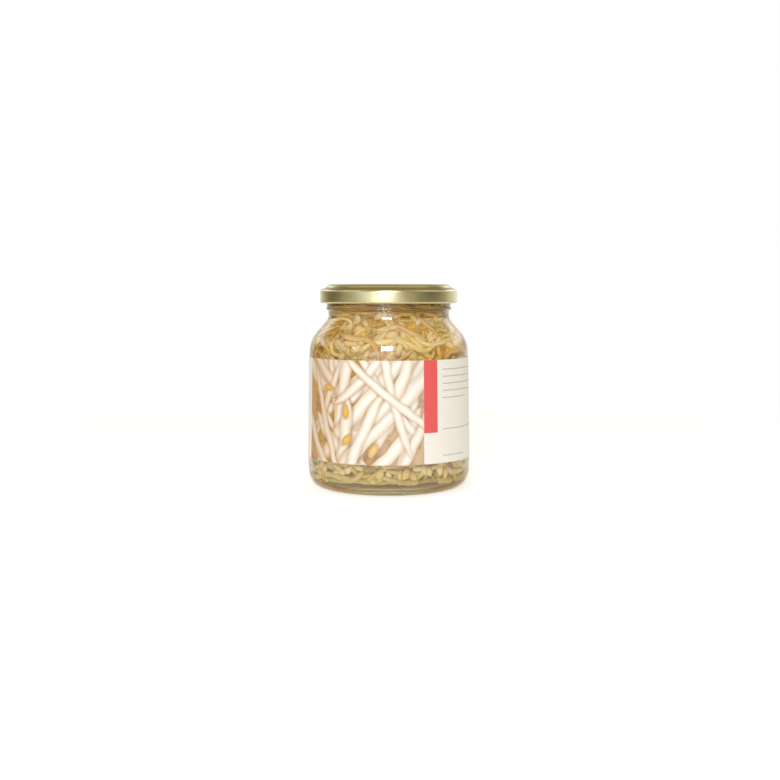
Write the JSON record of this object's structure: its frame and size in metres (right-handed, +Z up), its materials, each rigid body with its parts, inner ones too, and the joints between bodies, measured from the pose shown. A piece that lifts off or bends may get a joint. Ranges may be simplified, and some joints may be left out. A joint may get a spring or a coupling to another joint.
{
  "type": "jar of bean sprouts",
  "caption": "Wide-mouth glass jar packed with pale bean sprouts in brine, closed by a stepped twist-off tinplate lid with a sealing ring, with a paper label wrapped round the body",
  "frame": {"origin": "centre of the jar's foot, on the surface that the jar stands on", "axes": "+Z up along the jar's axis, -Y towards the front of the label, +Y through the label's glued lap"},
  "size_m": [0.0812, 0.0814, 0.1016],
  "materials": {
    "clear_glass": "clear flint glass with a faint grey-green tint where it is thick",
    "gold_lacquer": "light olive-gold lacquer over bright tinplate, satin gloss",
    "sealing_compound": "matte off-white sealing compound",
    "label_paper": "coated paper with a printed field of pale stalks over tan and a red block",
    "brine": "clear pale amber liquid",
    "sprout_flesh": "wet translucent cream to khaki flesh, with yellower seed heads"
  },
  "bodies": {
    "jar": {"glass_jar": "clear_glass", "label": "label_paper", "brine": "brine", "sprouts": "sprout_flesh"},
    "seal_ring": {"lid_seal": "sealing_compound"},
    "closure": {"lid": "gold_lacquer"}
  },
  "joints": [
    {"name": "lid_rise", "type": "slide", "parent": "jar", "child": "seal_ring", "axis": [0, 0, 1], "range_m": [0, 0.0017]},
    {"name": "lid_twist", "type": "hinge", "parent": "seal_ring", "child": "closure", "pos_m": [0, 0, 0.0924], "axis": [0, 0, 1], "range_deg": [0, 60]}
  ],
  "couplings": [
    {"joint": "lid_rise", "follows": "lid_twist", "m_per_rad": 0.0015915}
  ]
}
